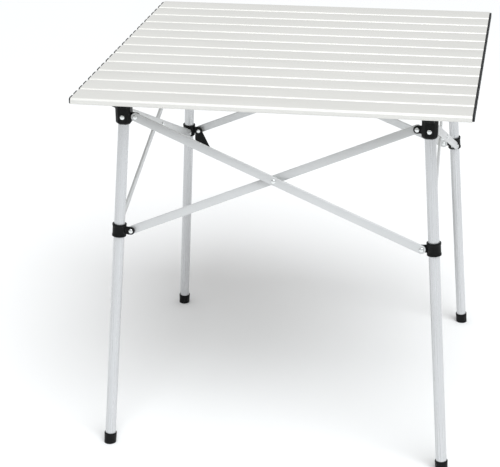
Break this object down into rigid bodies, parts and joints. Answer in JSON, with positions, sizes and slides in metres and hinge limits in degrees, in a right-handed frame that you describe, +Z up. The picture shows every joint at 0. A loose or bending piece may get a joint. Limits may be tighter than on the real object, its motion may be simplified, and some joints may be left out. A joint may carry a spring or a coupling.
{
  "type": "folding picnic table",
  "caption": "Square folding table with a roll-up slatted top, splayed tube legs and scissor bars whose sliders run along the legs.",
  "frame": {"origin": "on the floor under the middle of the top", "axes": "+Z up, -Y the front edge, slats run along X"},
  "size_m": [0.7, 0.7, 0.7],
  "materials": {
    "slat": "satin lacquer",
    "tube": "anodised",
    "bar": "anodised",
    "black": "moulded",
    "rivet": "bright"
  },
  "bodies": {
    "leg_rear_left": {"leg_rear_left": "tube", "foot_rear_left": "black", "head_rear_left": "black", "rivet_head_outer_left": "rivet", "rivet_head_inner_rear": "rivet"},
    "leg_front_left": {"leg_front_left": "tube", "foot_front_left": "black", "head_front_left": "black", "rivet_head_outer_front": "rivet", "rivet_head_inner_left": "rivet"},
    "leg_front_right": {"leg_front_right": "tube", "foot_front_right": "black", "head_front_right": "black", "rivet_head_outer_right": "rivet", "rivet_head_inner_front": "rivet"},
    "leg_rear_right": {"leg_rear_right": "tube", "foot_rear_right": "black", "head_rear_right": "black", "rivet_head_outer_rear": "rivet", "rivet_head_inner_right": "rivet"},
    "bar_outer_front": {"bar_outer_front": "bar", "rivet_crossing_front": "rivet", "rivet_slider_outer_front": "rivet"},
    "bar_inner_front": {"bar_inner_front": "bar"},
    "slider_pin_front_left": {"slider_pin_front_left": "rivet"},
    "slider_front_left": {"slider_front_left": "black"},
    "bar_outer_right": {"bar_outer_right": "bar", "rivet_crossing_right": "rivet", "rivet_slider_outer_right": "rivet"},
    "bar_inner_right": {"bar_inner_right": "bar"},
    "slider_pin_front_right": {"slider_pin_front_right": "rivet"},
    "slider_front_right": {"slider_front_right": "black"},
    "bar_outer_rear": {"bar_outer_rear": "bar", "rivet_crossing_rear": "rivet", "rivet_slider_outer_rear": "rivet"},
    "bar_inner_rear": {"bar_inner_rear": "bar"},
    "slider_pin_rear_right": {"slider_pin_rear_right": "rivet"},
    "slider_rear_right": {"slider_rear_right": "black"},
    "bar_outer_left": {"bar_outer_left": "bar", "rivet_crossing_left": "rivet", "rivet_slider_outer_left": "rivet"},
    "bar_inner_left": {"bar_inner_left": "bar"},
    "slider_pin_rear_left": {"slider_pin_rear_left": "rivet"},
    "slider_rear_left": {"slider_rear_left": "black", "slider_catch": "black"},
    "slat_1": {"slat_1": "slat"},
    "slat_2": {"slat_2": "slat"},
    "slat_3": {"slat_3": "slat"},
    "slat_4": {"slat_4": "slat"},
    "slat_5": {"slat_5": "slat"},
    "slat_6": {"slat_6": "slat"},
    "slat_7": {"slat_7": "slat"},
    "slat_8": {"slat_8": "slat"},
    "slat_9": {"slat_9": "slat"},
    "slat_10": {"slat_10": "slat"},
    "slat_11": {"slat_11": "slat"},
    "slat_12": {"slat_12": "slat"}
  },
  "joints": [
    {"name": "frame_fold", "type": "hinge", "parent": "leg_rear_left", "child": "bar_outer_left", "pos_m": [-0.27211, 0.25006, 0.64645], "axis": [0.9975, 0, -0.0708], "range_deg": [0, 66.12]},
    {"name": "scissor_left", "type": "hinge", "parent": "bar_outer_left", "child": "bar_inner_left", "pos_m": [-0.27955, 0, 0.5417], "axis": [0.9975, 0, -0.0708], "range_deg": [-124.49, 0]},
    {"name": "leg_front_left_swing", "type": "hinge", "parent": "bar_inner_left", "child": "leg_front_left", "pos_m": [-0.27211, -0.25006, 0.64645], "axis": [0.9975, 0, -0.0708], "range_deg": [0, 66.17]},
    {"name": "slider_rear_left_travel", "type": "hinge", "parent": "bar_outer_left", "child": "slider_pin_rear_left", "pos_m": [-0.28106, 0.00187, 0.52042], "axis": [0.9975, 0, -0.0708], "range_deg": [-132.29, 0]},
    {"name": "slider_rear_left_align", "type": "hinge", "parent": "slider_pin_rear_left", "child": "slider_rear_left", "pos_m": [-0.28744, 0.26538, 0.43054], "axis": [0.9975, 0, -0.0708], "range_deg": [0, 66.17]},
    {"name": "bar_outer_front_swing", "type": "hinge", "parent": "leg_front_left", "child": "bar_outer_front", "pos_m": [-0.25006, -0.27211, 0.64645], "axis": [0, 0.9975, -0.0708], "range_deg": [0, 66.17]},
    {"name": "scissor_front", "type": "hinge", "parent": "bar_outer_front", "child": "bar_inner_front", "pos_m": [0, -0.27955, 0.5417], "axis": [0, 0.9975, -0.0708], "range_deg": [-124.49, 0]},
    {"name": "leg_front_right_swing", "type": "hinge", "parent": "bar_inner_front", "child": "leg_front_right", "pos_m": [0.25006, -0.27211, 0.64645], "axis": [0, 0.9975, -0.0708], "range_deg": [0, 66.17]},
    {"name": "slider_front_left_travel", "type": "hinge", "parent": "bar_outer_front", "child": "slider_pin_front_left", "pos_m": [-0.00187, -0.28106, 0.52042], "axis": [0, 0.9975, -0.0708], "range_deg": [-132.29, 0]},
    {"name": "slider_front_left_align", "type": "hinge", "parent": "slider_pin_front_left", "child": "slider_front_left", "pos_m": [-0.26538, -0.28744, 0.43054], "axis": [0, 0.9975, -0.0708], "range_deg": [0, 66.17]},
    {"name": "bar_outer_right_swing", "type": "hinge", "parent": "leg_front_right", "child": "bar_outer_right", "pos_m": [0.27211, -0.25006, 0.64645], "axis": [-0.9975, 0, -0.0708], "range_deg": [0, 66.17]},
    {"name": "scissor_right", "type": "hinge", "parent": "bar_outer_right", "child": "bar_inner_right", "pos_m": [0.27955, 0, 0.5417], "axis": [-0.9975, 0, -0.0708], "range_deg": [-124.49, 0]},
    {"name": "leg_rear_right_swing", "type": "hinge", "parent": "bar_inner_right", "child": "leg_rear_right", "pos_m": [0.27211, 0.25006, 0.64645], "axis": [-0.9975, 0, -0.0708], "range_deg": [0, 66.17]},
    {"name": "slider_front_right_travel", "type": "hinge", "parent": "bar_outer_right", "child": "slider_pin_front_right", "pos_m": [0.28106, -0.00187, 0.52042], "axis": [-0.9975, 0, -0.0708], "range_deg": [-132.29, 0]},
    {"name": "slider_front_right_align", "type": "hinge", "parent": "slider_pin_front_right", "child": "slider_front_right", "pos_m": [0.28744, -0.26538, 0.43054], "axis": [-0.9975, 0, -0.0708], "range_deg": [0, 66.17]},
    {"name": "bar_outer_rear_swing", "type": "hinge", "parent": "leg_rear_right", "child": "bar_outer_rear", "pos_m": [0.25006, 0.27211, 0.64645], "axis": [0, -0.9975, -0.0708], "range_deg": [0, 66.17]},
    {"name": "bar_inner_rear_swing", "type": "hinge", "parent": "leg_rear_left", "child": "bar_inner_rear", "pos_m": [-0.25006, 0.27211, 0.64645], "axis": [0, 0.9975, 0.0708], "range_deg": [0, 66.17]},
    {"name": "slider_rear_right_travel", "type": "hinge", "parent": "bar_outer_rear", "child": "slider_pin_rear_right", "pos_m": [0.00187, 0.28106, 0.52042], "axis": [0, -0.9975, -0.0708], "range_deg": [-132.29, 0]},
    {"name": "slider_rear_right_align", "type": "hinge", "parent": "slider_pin_rear_right", "child": "slider_rear_right", "pos_m": [0.26538, 0.28744, 0.43054], "axis": [0, -0.9975, -0.0708], "range_deg": [0, 66.17]},
    {"name": "top_lift", "type": "slide", "parent": "leg_rear_left", "child": "slat_1", "axis": [0, 0, 1], "range_m": [0, 0.25]},
    {"name": "top_roll", "type": "hinge", "parent": "slat_1", "child": "slat_2", "pos_m": [0, 0.29167, 0.7], "axis": [-1, 0, 0], "range_deg": [0, 46]},
    {"name": "slat_3_roll", "type": "hinge", "parent": "slat_2", "child": "slat_3", "pos_m": [0, 0.23333, 0.7], "axis": [-1, 0, 0], "range_deg": [0, 46.18]},
    {"name": "slat_4_roll", "type": "hinge", "parent": "slat_3", "child": "slat_4", "pos_m": [0, 0.175, 0.7], "axis": [-1, 0, 0], "range_deg": [0, 46.77]},
    {"name": "slat_5_roll", "type": "hinge", "parent": "slat_4", "child": "slat_5", "pos_m": [0, 0.11667, 0.7], "axis": [-1, 0, 0], "range_deg": [0, 48.02]},
    {"name": "slat_6_roll", "type": "hinge", "parent": "slat_5", "child": "slat_6", "pos_m": [0, 0.05833, 0.7], "axis": [-1, 0, 0], "range_deg": [0, 50.1]},
    {"name": "slat_7_roll", "type": "hinge", "parent": "slat_6", "child": "slat_7", "pos_m": [0, 0, 0.7], "axis": [-1, 0, 0], "range_deg": [0, 53.12]},
    {"name": "slat_8_roll", "type": "hinge", "parent": "slat_7", "child": "slat_8", "pos_m": [0, -0.05833, 0.7], "axis": [-1, 0, 0], "range_deg": [0, 57.2]},
    {"name": "slat_9_roll", "type": "hinge", "parent": "slat_8", "child": "slat_9", "pos_m": [0, -0.11667, 0.7], "axis": [-1, 0, 0], "range_deg": [0, 62.45]},
    {"name": "slat_10_roll", "type": "hinge", "parent": "slat_9", "child": "slat_10", "pos_m": [0, -0.175, 0.7], "axis": [-1, 0, 0], "range_deg": [0, 68.95]},
    {"name": "slat_11_roll", "type": "hinge", "parent": "slat_10", "child": "slat_11", "pos_m": [0, -0.23333, 0.7], "axis": [-1, 0, 0], "range_deg": [0, 76.79]},
    {"name": "slat_12_roll", "type": "hinge", "parent": "slat_11", "child": "slat_12", "pos_m": [0, -0.29167, 0.7], "axis": [-1, 0, 0], "range_deg": [0, 86.05]}
  ],
  "couplings": [
    {"joint": "scissor_left", "follows": "frame_fold", "ratio": -1.882},
    {"joint": "leg_front_left_swing", "follows": "frame_fold", "ratio": 1},
    {"joint": "slider_rear_left_travel", "follows": "frame_fold", "ratio": -2},
    {"joint": "slider_rear_left_align", "follows": "frame_fold", "ratio": 1},
    {"joint": "bar_outer_front_swing", "follows": "frame_fold", "ratio": 1},
    {"joint": "scissor_front", "follows": "frame_fold", "ratio": -1.882},
    {"joint": "leg_front_right_swing", "follows": "frame_fold", "ratio": 1},
    {"joint": "slider_front_left_travel", "follows": "frame_fold", "ratio": -2},
    {"joint": "slider_front_left_align", "follows": "frame_fold", "ratio": 1},
    {"joint": "bar_outer_right_swing", "follows": "frame_fold", "ratio": 1},
    {"joint": "scissor_right", "follows": "frame_fold", "ratio": -1.882},
    {"joint": "leg_rear_right_swing", "follows": "frame_fold", "ratio": 1},
    {"joint": "slider_front_right_travel", "follows": "frame_fold", "ratio": -2},
    {"joint": "slider_front_right_align", "follows": "frame_fold", "ratio": 1},
    {"joint": "bar_outer_rear_swing", "follows": "frame_fold", "ratio": 1},
    {"joint": "bar_inner_rear_swing", "follows": "frame_fold", "ratio": 1},
    {"joint": "slider_rear_right_travel", "follows": "frame_fold", "ratio": -2},
    {"joint": "slider_rear_right_align", "follows": "frame_fold", "ratio": 1},
    {"joint": "slat_3_roll", "follows": "top_roll", "ratio": 1.0028},
    {"joint": "slat_4_roll", "follows": "top_roll", "ratio": 1.0156},
    {"joint": "slat_5_roll", "follows": "top_roll", "ratio": 1.0429},
    {"joint": "slat_6_roll", "follows": "top_roll", "ratio": 1.088},
    {"joint": "slat_7_roll", "follows": "top_roll", "ratio": 1.1537},
    {"joint": "slat_8_roll", "follows": "top_roll", "ratio": 1.2425},
    {"joint": "slat_9_roll", "follows": "top_roll", "ratio": 1.3565},
    {"joint": "slat_10_roll", "follows": "top_roll", "ratio": 1.4978},
    {"joint": "slat_11_roll", "follows": "top_roll", "ratio": 1.6682},
    {"joint": "slat_12_roll", "follows": "top_roll", "ratio": 1.8696}
  ]
}
